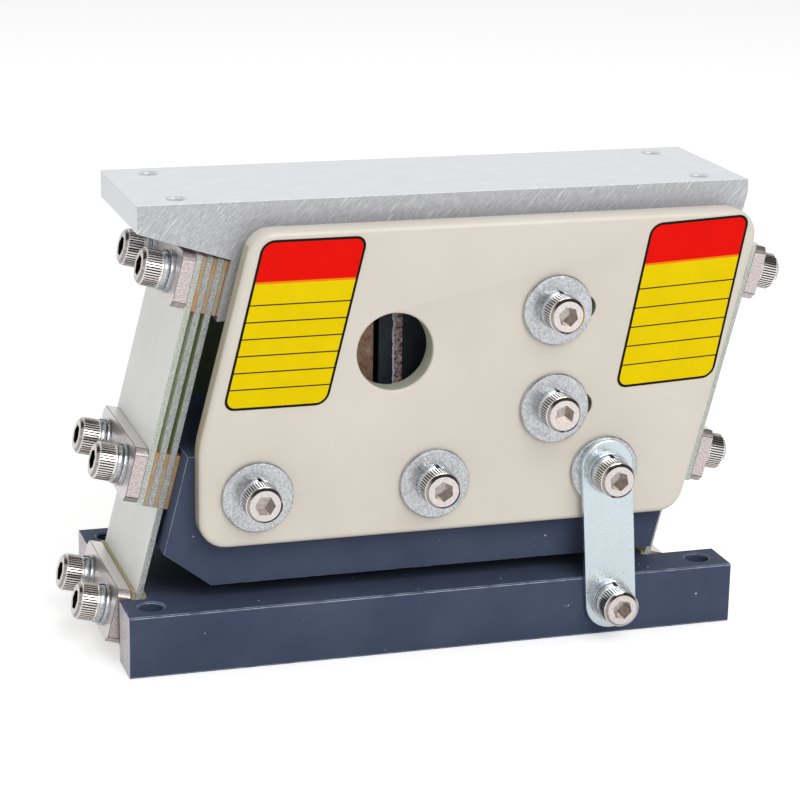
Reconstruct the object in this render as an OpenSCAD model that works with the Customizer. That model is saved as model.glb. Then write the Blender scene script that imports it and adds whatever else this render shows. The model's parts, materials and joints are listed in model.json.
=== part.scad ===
// Linear vibratory feeder: a tray block driven by an electromagnet, hung on two
// packs of leaning leaf springs from a heavy counterweight, which stands on the
// base plate on the long inner leaves. All sizes are in millimetres, Z is up,
// and the origin is the middle of the base plate's underside.

/* [Base plate] */
// Length of the base plate
base_l = 140; // [132:1:170]
// Width of the base plate, which the side plates' washers come level with
base_w = 60; // [56:1:72]
// Height of the base plate
base_h = 14; // [13:0.5:20]
// Chamfer on the long edges of the base plate
base_edge = 0.3; // [0.2:0.1:1.5]
// Depth of the left notch at the underside, from the end to the spring face
left_notch = 2.7; // [2:0.1:5]
// Depth of the right notch at the underside, from the end to the spring face
right_notch = 20.9; // [16:0.1:24]
// Diameter of the bolt holes that hold the base down
mount_hole_d = 5.5; // [4.5:0.1:6.5]
// Distance from the base's ends and sides to the bolt holes
mount_inset = 6; // [5:0.5:7]

/* [Leaf springs] */
// Lean of the springs from upright, towards +X
lean = 14; // [10:0.5:18]
// Width of every leaf spring and spacer
leaf_w = 36; // [30:1:38]
// Thickness of one leaf spring
leaf_t = 1.3; // [0.8:0.1:1.8]
// Thickness of the spacers between the leaves
spacer_t = 1.0; // [0.5:0.1:1.5]
// Height of the spacers and of the clamp plates, along the springs
spacer_h = 12.3; // [11.5:0.1:12.6]
// Gap between the base notch's sides and the springs
notch_gap = 1.1; // [0.5:0.1:2]

/* [Clamps] */
// Thickness of a clamp plate
clamp_t = 3; // [2:0.1:4]
// Cut across the corners of a clamp plate
clamp_corner = 1.4; // [0.5:0.1:2]
// Distance between the two screws of a clamp
screw_pitch = 19; // [16:0.5:22]
// Height of the base clamps' screws above the middle of the base plate
base_screw_rise = 1.5; // [0:0.1:2]
// Distance from the counterweight's top down to the left middle clamp's screws
left_mid_drop = 7.3; // [6.5:0.1:10]
// Distance from the counterweight's top down to the right middle clamp's screws
right_mid_drop = 8.6; // [6.5:0.1:10]
// Distance from the tray's top down to the left top clamp's screws
left_top_drop = 19.1; // [18:0.1:24]
// Distance from the tray's top down to the right top clamp's screws
right_top_drop = 20.3; // [18:0.1:24]

/* [Screws and washers] */
// Thread diameter of the socket head screws
screw_d = 5; // [4:0.5:5.5]
// Diameter of a screw's head
head_d = 8.3; // [7.5:0.1:8.8]
// Height of a screw's head
head_h = 4.6; // [4:0.1:5.5]
// Size across the flats of a screw's hexagon socket
socket_af = 4; // [3:0.5:4.5]
// Radial gap between a screw and its tapped hole
thread_gap = 0.1; // [0.05:0.05:0.2]
// Radial gap between a screw and a plain hole
hole_gap = 0.25; // [0.1:0.05:0.5]
// Thickness of a plain washer
flat_t = 1.0; // [0.5:0.1:1.5]
// Outer diameter of a plain washer
flat_d = 9.6; // [9:0.1:11]
// Thickness of a spring lock washer
lock_t = 1.3; // [0.8:0.1:2.2]
// Outer diameter of a spring lock washer
lock_d = 8.8; // [8:0.1:9.2]
// Thickness of a wide body washer
body_t = 1.3; // [1:0.1:2]
// Outer diameter of a wide body washer
body_d = 15.8; // [13:0.1:17]
// Length of the clamp screws through the full spring packs
long_screw = 20; // [18:1:24]
// Length of all other screws of the same thread
short_screw = 16; // [14:1:18]

/* [Counterweight] */
// Gap between the base plate and the counterweight
weight_gap = 3.5; // [2:0.5:6]
// Height of the counterweight
weight_h = 29.5; // [26:0.5:36]
// How far its right end stays back from the spring face
weight_back = 0.9; // [0:0.1:1.5]
// Length of the cut across its lower left corner
weight_cut_l = 10.4; // [5:0.2:14]
// Height of the cut across its lower left corner
weight_cut_h = 7.9; // [4:0.1:10]

/* [Side plates] */
// Thickness of a side plate
plate_t = 5.2; // [4:0.1:6]
// Gap from the left spring face to the side plates' left edge
plate_inset = 0.7; // [0.2:0.1:2]
// Distance from the tray's top down to the side plates' top edge
plate_top_drop = 4.8; // [3:0.1:8]
// Distance from the counterweight's underside up to the side plates' lower edge
plate_rise = 10; // [6:0.5:14]
// Height above the counterweight where the left edge turns upright
knee_rise = 3; // [1:0.5:6]
// Corner radius of a side plate
plate_r = 6; // [3:0.5:9]
// Radius of the bend in a side plate's left edge
knee_r = 20; // [10:1:30]
// Rounding of a side plate's outer edge
plate_edge = 1.2; // [0.4:0.1:2]
// Diameter of the window over the air gap
window_d = 17.1; // [12:0.1:20]
// Height of the window's middle above the magnet's axis
window_rise = 3.7; // [0:0.1:5]
// Distance from the middle of the air gap to the window's middle, towards the magnet
window_shift = 0.25; // [-2:0.05:2]
// Length of the side plates past the right spring face
plate_over = 0.7; // [0:0.1:2]
// Distance from the left spring face to the first screw of the row that holds a side plate
plate_screw_left = 16; // [11:0.1:20]
// Distance from the last screw of that row to the right spring face
plate_screw_right = 20.8; // [12:0.1:25]
// Distance from the counterweight's top down to that row
plate_screw_drop = 8.1; // [8:0.1:10]

/* [Transport bracket] */
// Width of the bracket
bracket_w = 12; // [10:0.5:14]
// Thickness of the bracket
bracket_t = 1.5; // [1:0.1:2.5]
// Distance of the bracket's lower screw towards +X from its upper one
bracket_shift = 2.1; // [-3:0.1:6]
// Height of the lower screw above the middle of the base plate
bracket_screw_rise = 1.6; // [0:0.1:2.2]
// Length of the bracket past its upper screw
bracket_top = 7.5; // [6:0.1:10]
// Length of the bracket past its lower screw
bracket_tail = 6.7; // [6.2:0.1:7]

/* [Tray block] */
// Length of the tray's top
tray_l = 139; // [130:1:150]
// Width of the tray block
tray_w = 40; // [37:1:44]
// Height of the tray's top above the floor
tray_top = 101.5; // [99:0.5:120]
// Thickness of the tray's top plate
tray_t = 6; // [5:0.5:8]
// Length of the tray past the right spring face at its underside
tray_over = 0.7; // [0.1:0.1:1]
// Thickness of the tray block's left leg at its foot
left_leg = 10; // [8:0.5:12]
// Thickness of the tray block's right leg at its foot
right_leg = 13; // [9:0.5:18]
// Distance from the top clamps' screws down to the legs' feet
leg_drop = 6.7; // [6.3:0.1:9]
// Gap between the tops of the left springs and the tray's underside
spring_top_gap = 0.6; // [0.3:0.1:1.5]
// Thickness of the tongue that carries the armature
tongue_t = 10; // [8:0.5:12]
// Fillet inside the tray block's corners
tray_fillet = 2; // [0.5:0.5:3]
// Core diameter of the tapped holes in the tray's top
tap_d = 4.2; // [3.3:0.1:5]
// Depth of those tapped holes
tap_depth = 8; // [6:0.5:8.5]
// Distance from the tray's ends to those holes
tap_inset_x = 9.5; // [8:0.5:14]
// Distance from the tray's sides to those holes
tap_inset_y = 6; // [4:0.5:9]

/* [Magnet] */
// X of the middle of the air gap
gap_x = -11.35; // [-14:0.05:-8]
// Air gap between the armature and the magnet's poles
air_gap = 1.2; // [1:0.1:2]
// Thickness of the armature
armature_t = 8; // [7:0.5:9]
// Height of the laminated stack
stack_h = 24; // [20:1:26]
// Width of the core's two side legs, and of its yoke
core_leg = 5; // [4:0.5:6]
// Width of the core's middle leg
core_mid = 10; // [8:0.5:12]
// Width of the slots that the coil lies in
core_slot = 5; // [4:0.5:6]
// Length of the core from its poles to its back
core_l = 25; // [22:0.5:28]
// How far the poles stand out of the wrapped coil
pole_out = 3; // [2:0.1:4]
// Wall and flange thickness of the bobbin
bobbin_t = 0.8; // [0.5:0.1:1.2]
// Gap between the bobbin, the coil and the core
coil_gap = 0.2; // [0.1:0.05:0.3]
// Thickness of the whole wrap round the magnet, paper and tape
wrap_t = 0.8; // [0.5:0.1:1.2]
// Thickness of the paper sleeve under the tape
sleeve_t = 0.3; // [0.2:0.1:0.4]
// How far the paper sleeve stands out of the tape, towards the poles
sleeve_out = 2.3; // [1:0.1:5]
// Gap between the wrapped magnet and the counterweight
magnet_gap = 0.5; // [0.3:0.1:3]
// Length of the block that holds the magnet
holder_l = 22.6; // [18:0.1:24]
// Thickness of the holder's lips above and below the stack
lip_t = 5; // [4:0.5:6]
// Distance of the holder's screws above and below the magnet's axis
holder_screw_z = 11.1; // [9:0.1:12]
// Length of the slots that let the magnet slide
slot_l = 14; // [10:0.5:16]
// Offset of those slots' middle from the screws
slot_shift = 2.1; // [0:0.1:2.5]
// Diameter of the two bolts through the stack
core_bolt_d = 3; // [2:0.5:3]

/* [Cable grommet] */
// X of the grommet in the back side plate
grommet_x = 46; // [43:0.5:48]
// Diameter of the hole that the grommet sits in
grommet_d = 8; // [7:0.5:9]
// Bore of the grommet
grommet_bore = 5; // [4.2:0.1:6]
// Thickness and overlap of the grommet's lips
grommet_lip = 1.3; // [1:0.1:1.6]

/* [Hidden] */
$fn = 48;
cut = 1; // how far a cutting tool runs past the face that it opens

LEFT = -1;
RIGHT = 1;
BASE = 0;
MID = 1;
TOP = 2;

// Heights of the main levels
weight_z = base_h + weight_gap;
weight_top = weight_z + weight_h;
tray_under = tray_top - tray_t;

// The spring faces: X where each crosses the floor, and X at any height
function face_x(side, z) = side * base_l / 2 - side * (side == LEFT ? left_notch : right_notch)
  + z * tan(lean);
leaf_pitch = leaf_t + spacer_t;
function leaf_depth(i) = spacer_t + i * leaf_pitch;
full_pack = 3 * leaf_pitch;
base_pack = leaf_pitch + spacer_t;
washers_t = flat_t + lock_t;

function top_drop(side) = side == LEFT ? left_top_drop : right_top_drop;

// Place of each clamp's screws, measured along the spring face from the floor
function clamp_s(side, level) =
  (level == BASE ? base_h / 2 + base_screw_rise
   : level == TOP ? tray_top - top_drop(side)
   : weight_top - (side == LEFT ? left_mid_drop : right_mid_drop)) / cos(lean);
function pack_depth(level) = level == BASE ? base_pack : full_pack;

// Side plates and what they hold
front_y = base_w / 2;
plate_y = front_y - body_t;
plate_in = plate_y - plate_t;
plate_low = weight_z + plate_rise;
plate_high = tray_top - plate_top_drop;
knee_z = weight_top + knee_rise;
row_z = weight_top - plate_screw_drop;
row_ends = [face_x(LEFT, row_z) + plate_screw_left, face_x(RIGHT, row_z) - plate_screw_right];
row_x = [row_ends[0], (row_ends[0] + row_ends[1]) / 2, row_ends[1]];
bracket_screw_x = row_x[2] + bracket_shift;
bracket_z = base_h / 2 + bracket_screw_rise;

// Magnet: the coil stands out above and below the stack as far as the slots allow
coil_out = core_slot;
magnet_half = stack_h / 2 + coil_out + wrap_t;
magnet_z = weight_top + magnet_gap + magnet_half;
pole_x = gap_x + air_gap / 2;
core_back = pole_x + core_l;
core_w = core_mid + 2 * (core_slot + core_leg);
coil_x0 = pole_x + pole_out;
coil_x1 = core_back - core_leg - coil_gap;
armature_x = gap_x - air_gap / 2 - armature_t;
holder_x = core_back + holder_l / 2;
holder_h = stack_h + 2 * lip_t;
bolt_x = core_back - core_leg / 2;
bolt_y = core_w / 2 - core_leg / 2;
window_z = magnet_z + window_rise;

// Tray block
tray_right = face_x(RIGHT, tray_under) + tray_over;
tray_left = tray_right - tray_l;
tray_x = (tray_left + tray_right) / 2;
function leg_z(side) = tray_top - top_drop(side) - leg_drop;
left_face_top = (clamp_s(LEFT, TOP) + spacer_h / 2 + spring_top_gap) * cos(lean);
armature_screw_z = stack_h / 4;

// One corner of an outline: unit vectors to its neighbours and half its angle
function unit(v) = v / norm(v);
function to_prev(p, i) = unit(p[(i + len(p) - 1) % len(p)] - p[i]);
function to_next(p, i) = unit(p[(i + 1) % len(p)] - p[i]);
function half_angle(p, i) = acos(to_prev(p, i) * to_next(p, i)) / 2;
function bisector(p, i) = unit(to_prev(p, i) + to_next(p, i));
// Points along the arc of radius r that rounds corner i
function arc(p, i, r, n) =
  let (a = half_angle(p, i), u = to_prev(p, i), v = to_next(p, i),
       c = p[i] + bisector(p, i) * r / sin(a), s = c - p[i],
       from = p[i] + u * r / tan(a) - c, to = p[i] + v * r / tan(a) - c)
  r < 0.01 ? [p[i]]
  : [for (k = [0 : n]) let (t = k / n, w = 180 - 2 * a)
      c + (from * sin((1 - t) * w) + to * sin(t * w)) / sin(w)];
// A closed outline with every corner rounded by its own radius
function rounded(p, r, n = 8) = [for (i = [0 : len(p) - 1]) each arc(p, i, r[i], n)];
// The same outline drawn inwards by d, for convex outlines
function drawn_in(p, d) = [for (i = [0 : len(p) - 1]) p[i] + bisector(p, i) * d / sin(half_angle(p, i))];

// Children stand on a spring face: X points out of the face, Z up along it
module on_face(side, level) {
  translate([face_x(side, 0), 0, 0]) rotate([0, lean, 0])
    translate([0, 0, clamp_s(side, level)])
      if (side == LEFT) mirror([1, 0, 0]) children();
      else children();
}
// Children at both screws of a clamp, at a depth out of the face
module at_screws(side, level, depth) {
  on_face(side, level)
    for (y = [-1, 1]) translate([depth, y * screw_pitch / 2, 0]) children();
}
// Children on the front (-1) or back (1) of the machine, X pointing outwards
module on_side(way, x, z, y) {
  translate([x, way * y, z]) rotate([0, 0, way * 90]) children();
}
module profile_y(points, width) {
  rotate([90, 0, 0]) linear_extrude(width, center = true) polygon(points);
}
// Hole of a given diameter along X, from x0 to x1
module x_hole(d, x0, x1) {
  translate([x0, 0, 0]) rotate([0, 90, 0]) cylinder(d = d, h = x1 - x0);
}
plain_hole = screw_d + 2 * hole_gap;
tapped_hole = screw_d + 2 * thread_gap;

// Socket head cap screw: the seat under its head is at X = 0, the head outside
module cap_screw(length, d = screw_d) {
  k = d / screw_d;
  edge = 0.3 * k;
  difference() {
    rotate([0, 90, 0]) rotate_extrude()
      polygon([[0, -length], [d / 2 - edge, -length], [d / 2, edge - length], [d / 2, 0],
               [head_d * k / 2, 0], [head_d * k / 2, head_h * k - edge],
               [head_d * k / 2 - edge, head_h * k], [0, head_h * k]]);
    translate([head_h * k * 0.45, 0, 0]) rotate([0, 90, 0])
      cylinder(d = socket_af * k / cos(30), h = head_h * k, $fn = 6);
  }
}
module ring(outer, inner, t) {
  difference() {
    rotate([0, 90, 0]) cylinder(d = outer, h = t);
    x_hole(inner, -cut, t + cut);
  }
}
module flat_washer() { ring(flat_d, plain_hole, flat_t); }
module body_washer() { ring(body_d, plain_hole, body_t); }
// Spring washer, cut through on one side
module lock_washer() {
  split = 0.7;
  difference() {
    ring(lock_d, plain_hole, lock_t);
    translate([lock_t / 2, 0, lock_d / 2]) rotate([25, 0, 0])
      cube([lock_t + 2 * cut, split, lock_d], center = true);
  }
}

// Steel plate with a slanted notch in each end for the lower ends of the springs
module base_plate() {
  e = base_edge;
  w = base_w / 2;
  rim = 0.3;
  color("#4a5266") difference() {
    rotate([90, 0, 90]) linear_extrude(base_l, center = true)
      polygon([[-w + e, 0], [w - e, 0], [w, e], [w, base_h - e],
               [w - e, base_h], [-w + e, base_h], [-w, base_h - e], [-w, e]]);
    for (side = [LEFT, RIGHT]) base_notch(side);
    for (x = [-1, 1], y = [-1, 1])
      translate([x * (base_l / 2 - mount_inset), y * (base_w / 2 - mount_inset), 0]) {
        translate([0, 0, -cut]) cylinder(d = mount_hole_d, h = base_h + 2 * cut);
        translate([0, 0, base_h - rim])
          cylinder(d1 = mount_hole_d, d2 = mount_hole_d + 4 * rim, h = 2 * rim);
      }
    for (side = [LEFT, RIGHT]) at_screws(side, BASE, 0)
      x_hole(tapped_hole, base_pack + clamp_t + washers_t - short_screw - cut, cut);
    on_side(-1, bracket_screw_x, bracket_z, front_y) x_hole(tapped_hole, -short_screw, cut);
  }
}
module base_notch(side) {
  depth = base_l / 2;
  translate([face_x(side, 0), 0, 0]) rotate([0, lean, 0])
    translate([side * depth / 2, 0, base_h / 2])
      cube([depth, leaf_w + 2 * notch_gap, 4 * base_h], center = true);
}

// Solid steel block between the spring packs; the side plates screw to its sides
module counterweight_block() {
  cut_z = weight_z + weight_cut_h;
  b = weight_back;
  color("#434a5e") difference() {
    profile_y([[face_x(LEFT, cut_z), cut_z], [face_x(LEFT, cut_z) + weight_cut_l, weight_z],
               [face_x(RIGHT, weight_z) - b, weight_z], [face_x(RIGHT, weight_top) - b, weight_top],
               [face_x(LEFT, weight_top), weight_top]], 2 * plate_in);
    for (side = [LEFT, RIGHT]) at_screws(side, MID, 0)
      x_hole(tapped_hole, full_pack + clamp_t + washers_t - long_screw - cut, cut);
    for (way = [-1, 1], x = row_x) on_side(way, x, row_z, plate_in)
      x_hole(tapped_hole, -short_screw, cut);
  }
}

// Painted side plate with rounded outer edges, a round window and two slots.
// The outline is drawn in X and Z, and the outer face lies at Y = 0 here.
function plate_outline() = [
  [face_x(LEFT, knee_z) + plate_inset, plate_low],
  [face_x(RIGHT, plate_low) + plate_over, plate_low],
  [face_x(RIGHT, plate_high) + plate_over, plate_high],
  [face_x(LEFT, plate_high) + plate_inset, plate_high],
  [face_x(LEFT, knee_z) + plate_inset, knee_z]];
module plate_blank() {
  steps = 4;
  p = plate_outline();
  r = [plate_r, plate_r, plate_r, plate_r, knee_r];
  depths = [for (k = [0 : steps]) plate_edge * (1 - sin(90 * k / steps))];
  insets = [for (k = [0 : steps]) plate_edge * (1 - cos(90 * k / steps))];
  rings = concat([[plate_t, 0]], [for (k = [0 : steps]) [depths[k], insets[k]]]);
  loops = [for (q = rings) [for (v = rounded(drawn_in(p, q[1]), [for (a = r) a - q[1]], 6))
    [v[0], q[0], v[1]]]];
  n = len(loops[0]);
  m = len(loops);
  polyhedron([for (l = loops) each l],
    concat([[for (i = [n - 1 : -1 : 0]) i]], [[for (i = [0 : n - 1]) (m - 1) * n + i]],
      [for (j = [0 : m - 2], i = [0 : n - 1])
        [j * n + i, j * n + (i + 1) % n, (j + 1) * n + (i + 1) % n, (j + 1) * n + i]]));
}
module side_plate() {
  rim = 0.5;
  difference() {
    plate_blank();
    translate([gap_x + window_shift, 0, window_z]) rotate([-90, 0, 0]) {
      translate([0, 0, -cut]) cylinder(d = window_d, h = plate_t + 2 * cut);
      rotate_extrude() difference() {
        translate([0, -rim]) square([window_d / 2 + rim, 2 * rim]);
        translate([window_d / 2 + rim, rim]) circle(rim);
      }
    }
    for (x = row_x) translate([x, -cut, row_z]) rotate([-90, 0, 0])
      cylinder(d = plain_hole, h = plate_t + 2 * cut);
    for (z = [-1, 1]) translate([holder_x + slot_shift, -cut, magnet_z + z * holder_screw_z]) {
      half = (slot_l - plain_hole) / 2;
      for (x = [-half, half]) translate([x, 0, 0]) rotate([-90, 0, 0])
        cylinder(d = plain_hole, h = plate_t + 2 * cut);
      translate([-half, 0, -plain_hole / 2]) cube([2 * half, plate_t + 2 * cut, plain_hole]);
    }
  }
}
module front_side_plate() {
  color("#ddd5cb") translate([0, -plate_y, 0]) side_plate();
}
module back_side_plate() {
  color("#ddd5cb") difference() {
    mirror([0, 1, 0]) translate([0, -plate_y, 0]) side_plate();
    on_side(1, grommet_x, magnet_z, plate_y) x_hole(grommet_d, -plate_t - cut, cut);
  }
}

// Flat bar with round ends that ties the counterweight to the base for transport
module transport_bracket() {
  dx = bracket_screw_x - row_x[2];
  dz = row_z - bracket_z;
  reach = norm([dx, dz]);
  r = bracket_w / 2;
  color("#d0dade") on_side(-1, bracket_screw_x, bracket_z, front_y)
    rotate([atan2(dx, dz), 0, 0]) difference() {
      rotate([90, 0, 90]) linear_extrude(bracket_t) {
        translate([0, r - bracket_tail]) circle(r);
        translate([0, reach + bracket_top - r]) circle(r);
        translate([-r, r - bracket_tail]) square([2 * r, reach + bracket_top + bracket_tail - 2 * r]);
      }
      x_hole(plain_hole, -cut, bracket_t + cut);
      translate([0, 0, reach]) x_hole(plain_hole, -cut, bracket_t + cut);
    }
}

// One aluminium block: top plate, a leg on each spring pack, tongue for the armature
module tray_block() {
  rim = 0.4;
  tongue_x = armature_x - tongue_t;
  tongue_z = magnet_z - stack_h / 2;
  left_z = leg_z(LEFT);
  right_z = leg_z(RIGHT);
  leg_l = face_x(LEFT, left_z) + left_leg;
  leg_r = face_x(RIGHT, right_z) - right_leg;
  end_z = (tray_right - face_x(RIGHT, 0)) / tan(lean);
  f = tray_fillet;
  points = [
    [tray_left, tray_top], [tray_right, tray_top], [tray_right, end_z],
    [face_x(RIGHT, right_z), right_z], [leg_r, right_z], [leg_r, tray_under],
    [armature_x, tray_under], [armature_x, tongue_z], [tongue_x, tongue_z], [tongue_x, tray_under],
    [leg_l, tray_under], [leg_l, left_z], [face_x(LEFT, left_z), left_z],
    [face_x(LEFT, left_face_top), left_face_top], [tray_left, tray_under]];
  radii = [0, 0, 0, 0, 0, f, f, 0, 0, f, f, 0, 0, 0, 0];
  color("#c4c6ca") difference() {
    profile_y(rounded(points, radii, 6), tray_w);
    for (x = [-1, 1], y = [-1, 1])
      translate([tray_x + x * (tray_l / 2 - tap_inset_x), y * (tray_w / 2 - tap_inset_y), tray_top]) {
        translate([0, 0, -tap_depth]) cylinder(d = tap_d, h = tap_depth + cut);
        translate([0, 0, -rim]) cylinder(d1 = tap_d, d2 = tap_d + 4 * rim, h = 2 * rim);
      }
    for (side = [LEFT, RIGHT]) at_screws(side, TOP, 0)
      x_hole(tapped_hole, full_pack + clamp_t + washers_t - long_screw - cut, cut);
    for (z = [-1, 1]) translate([0, 0, magnet_z + z * armature_screw_z])
      x_hole(plain_hole, tongue_x - cut, armature_x + cut);
  }
}
module armature() {
  color("#8a7360") difference() {
    translate([armature_x, -core_w / 2, magnet_z - stack_h / 2]) cube([armature_t, core_w, stack_h]);
    for (z = [-1, 1]) translate([0, 0, magnet_z + z * armature_screw_z])
      x_hole(tapped_hole, armature_x - cut, armature_x - tongue_t + short_screw + thread_gap);
  }
}
module armature_screws() {
  color("#c9c3be") for (z = [-1, 1])
    translate([armature_x - tongue_t, 0, magnet_z + z * armature_screw_z])
      mirror([1, 0, 0]) cap_screw(short_screw);
}

// Laminated E-shaped core: three legs point at the armature, a yoke joins them
module magnet_core() {
  slot_y = core_mid / 2;
  color("#2a2c33") difference() {
    translate([pole_x, -core_w / 2, magnet_z - stack_h / 2]) cube([core_l, core_w, stack_h]);
    for (y = [-slot_y - core_slot, slot_y])
      translate([pole_x - cut, y, magnet_z - stack_h / 2 - cut])
        cube([core_l - core_leg + cut, core_slot, stack_h + 2 * cut]);
    for (y = [-bolt_y, bolt_y]) translate([bolt_x, y, magnet_z - stack_h / 2 - cut])
      cylinder(d = core_bolt_d + 2 * thread_gap, h = stack_h + 2 * cut);
  }
}
// Rectangular tube round the middle leg, in Y and Z, from x0 to x1
module leg_tube(inner, outer, x0, x1) {
  difference() {
    translate([x0, -core_mid / 2 - outer, magnet_z - stack_h / 2 - outer])
      cube([x1 - x0, core_mid + 2 * outer, stack_h + 2 * outer]);
    translate([x0 - cut, -core_mid / 2 - inner, magnet_z - stack_h / 2 - inner])
      cube([x1 - x0 + 2 * cut, core_mid + 2 * inner, stack_h + 2 * inner]);
  }
}
module coil_bobbin() {
  wall = coil_gap + bobbin_t;
  color("#9b7b4f") {
    leg_tube(coil_gap, wall, coil_x0, coil_x1);
    for (x = [coil_x0, coil_x1 - bobbin_t]) leg_tube(coil_gap, core_slot - coil_gap, x, x + bobbin_t);
  }
}
module magnet_coil() {
  color("#a85b34")
    leg_tube(coil_gap + bobbin_t, core_slot - 2 * coil_gap, coil_x0 + bobbin_t, coil_x1 - bobbin_t);
}
// Sheet wrapped round the side legs and the coil, open towards both ends of the core
function wrap_loop(d) = [for (q = [[1, 1], [-1, 1], [-1, -1], [1, -1]])
  each let (y = core_w / 2, y2 = core_mid / 2 + core_slot, z = stack_h / 2, z2 = stack_h / 2 + coil_out,
            k = d * tan(22.5),
            a = [q[0] * (y + d), q[1] * (z + k)], b = [q[0] * (y2 + k), q[1] * (z2 + d)])
  q[0] * q[1] > 0 ? [a, b] : [b, a]];
module wrapping(inner, outer, x0) {
  translate([x0, 0, magnet_z]) rotate([90, 0, 90])
    linear_extrude(coil_x1 - coil_gap - x0) difference() {
      polygon(wrap_loop(outer));
      polygon(wrap_loop(inner));
    }
}
module magnet_sleeve() { color("#8a756b") wrapping(0, sleeve_t, coil_x0); }
module magnet_wrap() { color("#1d1e22") wrapping(sleeve_t, wrap_t, coil_x0 + sleeve_out); }
// Steel block behind the core, clamped between the side plates through their slots
module magnet_holder() {
  color("#9a9ca0") difference() {
    translate([core_back - core_leg, -plate_in, magnet_z - holder_h / 2])
      cube([holder_l + core_leg, 2 * plate_in, holder_h]);
    translate([core_back - core_leg - cut, -plate_in - cut, magnet_z - stack_h / 2])
      cube([core_leg + cut, 2 * plate_in + 2 * cut, stack_h]);
    for (y = [-bolt_y, bolt_y]) translate([bolt_x, y, magnet_z - holder_h / 2 - cut])
      cylinder(d = core_bolt_d + 2 * thread_gap, h = holder_h + 2 * cut);
    for (way = [-1, 1], z = [-1, 1])
      on_side(way, holder_x, magnet_z + z * holder_screw_z, plate_in)
        x_hole(tapped_hole, -short_screw, cut);
  }
}
module core_bolts() {
  color("#b9b4b0") for (y = [-bolt_y, bolt_y])
    translate([bolt_x, y, magnet_z + holder_h / 2]) rotate([0, -90, 0])
      cap_screw(holder_h, core_bolt_d);
}
// Rubber grommet where the magnet's cable would pass through the back plate
module cable_grommet() {
  r = grommet_d / 2;
  b = grommet_bore / 2;
  l = grommet_lip;
  color("#26262a") on_side(1, grommet_x, magnet_z, plate_in) rotate([0, 90, 0]) rotate_extrude()
    polygon([[b, -l], [r + l, -l], [r + l, 0], [r, 0], [r, plate_t], [r + l, plate_t],
             [r + l, plate_t + l], [b, plate_t + l]]);
}

// Leaf spring i of a pack (0 is next to the face), between two lengths along the face
module leaf(side, i) {
  low = i == 0 ? clamp_s(side, BASE) - spacer_h / 2 : clamp_s(side, MID) - spacer_h / 2;
  high = clamp_s(side, TOP) + spacer_h / 2;
  levels = i == 0 ? [BASE, MID, TOP] : [MID, TOP];
  color("#c9cec8") difference() {
    on_face(side, BASE) translate([leaf_depth(i), -leaf_w / 2, low - clamp_s(side, BASE)])
      cube([leaf_t, leaf_w, high - low]);
    for (level = levels) at_screws(side, level, leaf_depth(i)) x_hole(plain_hole, -cut, leaf_t + cut);
  }
}
// Spacers of one clamp: one under each leaf, and at the base one more on top of it. The
// one against the counterweight's right end is thicker and reaches back to it.
module spacers(side, level) {
  depths = level == BASE ? [0, leaf_pitch] : [0, leaf_pitch, 2 * leaf_pitch];
  back = side == RIGHT && level == MID ? weight_back * cos(lean) : 0;
  color("#c8a06e") for (d = depths) difference() {
    on_face(side, level) translate([d == 0 ? -back : d, -leaf_w / 2, -spacer_h / 2])
      cube([spacer_t + (d == 0 ? back : 0), leaf_w, spacer_h]);
    at_screws(side, level, d) x_hole(plain_hole, -back - cut, spacer_t + cut);
  }
}
module clamp(side, level) {
  w = leaf_w / 2;
  h = spacer_h / 2;
  c = clamp_corner;
  color("#cdc3c0") difference() {
    on_face(side, level) translate([pack_depth(level), 0, 0]) rotate([90, 0, 90])
      linear_extrude(clamp_t)
        polygon([[-w + c, -h], [w - c, -h], [w, -h + c], [w, h - c],
                 [w - c, h], [-w + c, h], [-w, h - c], [-w, -h + c]]);
    at_screws(side, level, pack_depth(level)) x_hole(plain_hole, -cut, clamp_t + cut);
  }
}
module clamp_screws(side, level) {
  color("#c9c3be") at_screws(side, level, pack_depth(level) + clamp_t + washers_t)
    cap_screw(level == BASE ? short_screw : long_screw);
}
// Washers under the clamp screws of the given levels, on both sides
module clamp_washers(levels, depth) {
  color("#d0dade") for (side = [LEFT, RIGHT], level = levels)
    at_screws(side, level, pack_depth(level) + clamp_t + depth) children();
}
module tray_flat_washers() { clamp_washers([TOP], 0) flat_washer(); }
module tray_lock_washers() { clamp_washers([TOP], flat_t) lock_washer(); }
module clamp_flat_washers() { clamp_washers([BASE, MID], 0) flat_washer(); }
module clamp_lock_washers() { clamp_washers([BASE, MID], flat_t) lock_washer(); }

// Screw places on one side: the lower row, and the pair that holds the magnet.
// On the front the last screw of the row also holds the bracket, and the others have
// a lock washer straight on the body washer.
function seat_y(way) = front_y + (way < 0 ? lock_t : washers_t);
function row_places(way) = way < 0 ? [row_x[0], row_x[1]] : row_x;
module magnet_places(way, y) {
  for (z = [-1, 1]) on_side(way, holder_x, magnet_z + z * holder_screw_z, y) children();
}
module plate_places(way, y) {
  for (x = row_places(way)) on_side(way, x, row_z, y) children();
}
module bracket_places(y) {
  on_side(-1, row_x[2], row_z, y) children();
  on_side(-1, bracket_screw_x, bracket_z, y) children();
}
module plate_screws(way) {
  color("#c9c3be") plate_places(way, seat_y(way)) cap_screw(short_screw);
}
module magnet_screws(way) {
  color("#c9c3be") magnet_places(way, seat_y(way)) cap_screw(short_screw);
}
module bracket_screws() {
  color("#c9c3be") bracket_places(front_y + bracket_t + washers_t) cap_screw(short_screw);
}
module body_washers(way) {
  color("#c3ced2") {
    for (x = row_x) on_side(way, x, row_z, plate_y) body_washer();
    magnet_places(way, plate_y) body_washer();
  }
}
module side_lock_washers(way) {
  color("#d0dade") {
    plate_places(way, seat_y(way) - lock_t) lock_washer();
    magnet_places(way, seat_y(way) - lock_t) lock_washer();
    if (way < 0) bracket_places(front_y + bracket_t + flat_t) lock_washer();
  }
}
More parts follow.
